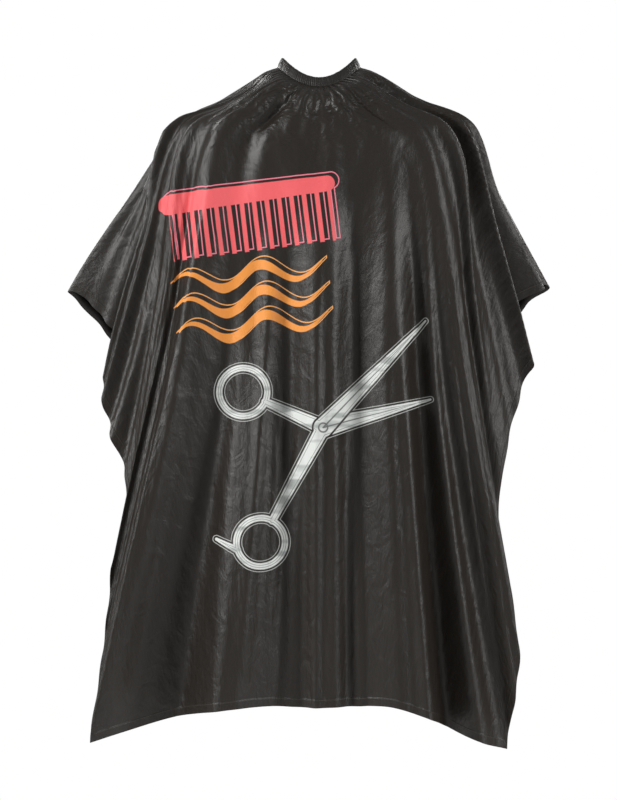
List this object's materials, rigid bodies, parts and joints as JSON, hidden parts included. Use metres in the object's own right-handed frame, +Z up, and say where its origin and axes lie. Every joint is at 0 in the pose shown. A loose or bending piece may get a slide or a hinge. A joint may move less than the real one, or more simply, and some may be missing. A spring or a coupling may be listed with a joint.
{
  "type": "barber cape",
  "caption": "Sleeveless hairdressing cape of thin glossy cloth: gathered neck opening, press-stud closure at the nape, long front with side folds and short back.",
  "frame": {"origin": "centre of the neck opening, halfway up its gathered band's top edge", "axes": "+Z up along the wearer, -Y the way the wearer faces, +X to the wearer's left"},
  "size_m": [0.7768, 0.3585, 1.1028],
  "materials": {
    "cape_taffeta": "glossy black polyester taffeta",
    "hem_taffeta": "folded and stitched black taffeta hem",
    "neck_taffeta": "gathered black taffeta neck band",
    "woven_elastic": "black woven elastic tape",
    "press_stud_nickel": "bright nickel plate"
  },
  "bodies": {
    "front": {"front_cloth_centre": "cape_taffeta", "front_hem": "hem_taffeta", "front_cloth_right": "cape_taffeta", "front_drape_right": "cape_taffeta", "front_side_hem_right": "hem_taffeta", "front_cloth_left": "cape_taffeta", "front_drape_left": "cape_taffeta", "front_side_hem_left": "hem_taffeta", "neck_casing": "neck_taffeta", "neck_elastic": "woven_elastic"},
    "back_right": {"back_drape_right": "cape_taffeta", "back_cloth_right": "cape_taffeta", "back_side_hem_right": "hem_taffeta", "back_hem_right": "hem_taffeta", "vent_hem_right": "hem_taffeta", "neck_band_right": "neck_taffeta"},
    "back_left": {"back_drape_left": "cape_taffeta", "back_cloth_left": "cape_taffeta", "back_side_hem_left": "hem_taffeta", "back_hem_left": "hem_taffeta", "vent_hem_left": "hem_taffeta", "neck_band_left": "neck_taffeta", "band_stud_1": "press_stud_nickel", "band_post_1": "press_stud_nickel", "band_stud_2": "press_stud_nickel", "band_post_2": "press_stud_nickel", "band_stud_3": "press_stud_nickel", "band_post_3": "press_stud_nickel", "band_stud_4": "press_stud_nickel", "band_post_4": "press_stud_nickel"},
    "closure_tab": {"snap_tab": "neck_taffeta", "tab_snap_socket": "press_stud_nickel", "tab_snap_cap": "press_stud_nickel"}
  },
  "joints": [
    {"name": "back_right_opens", "type": "hinge", "parent": "front", "child": "back_right", "pos_m": [0.058, 0, 0.034], "axis": [0.8952, 0.0194, -0.4452], "range_deg": [0, 70]},
    {"name": "back_left_opens", "type": "hinge", "parent": "front", "child": "back_left", "pos_m": [-0.058, 0, 0.034], "axis": [0.8952, -0.0194, 0.4452], "range_deg": [0, 70]},
    {"name": "closure_tab_unsnaps", "type": "hinge", "parent": "back_right", "child": "closure_tab", "pos_m": [0.01855, 0.06655, -0.02275], "axis": [0.1432, 0.4237, -0.8944], "range_deg": [0, 85]}
  ],
  "couplings": [
    {"joint": "back_left_opens", "follows": "back_right_opens", "ratio": 1}
  ]
}
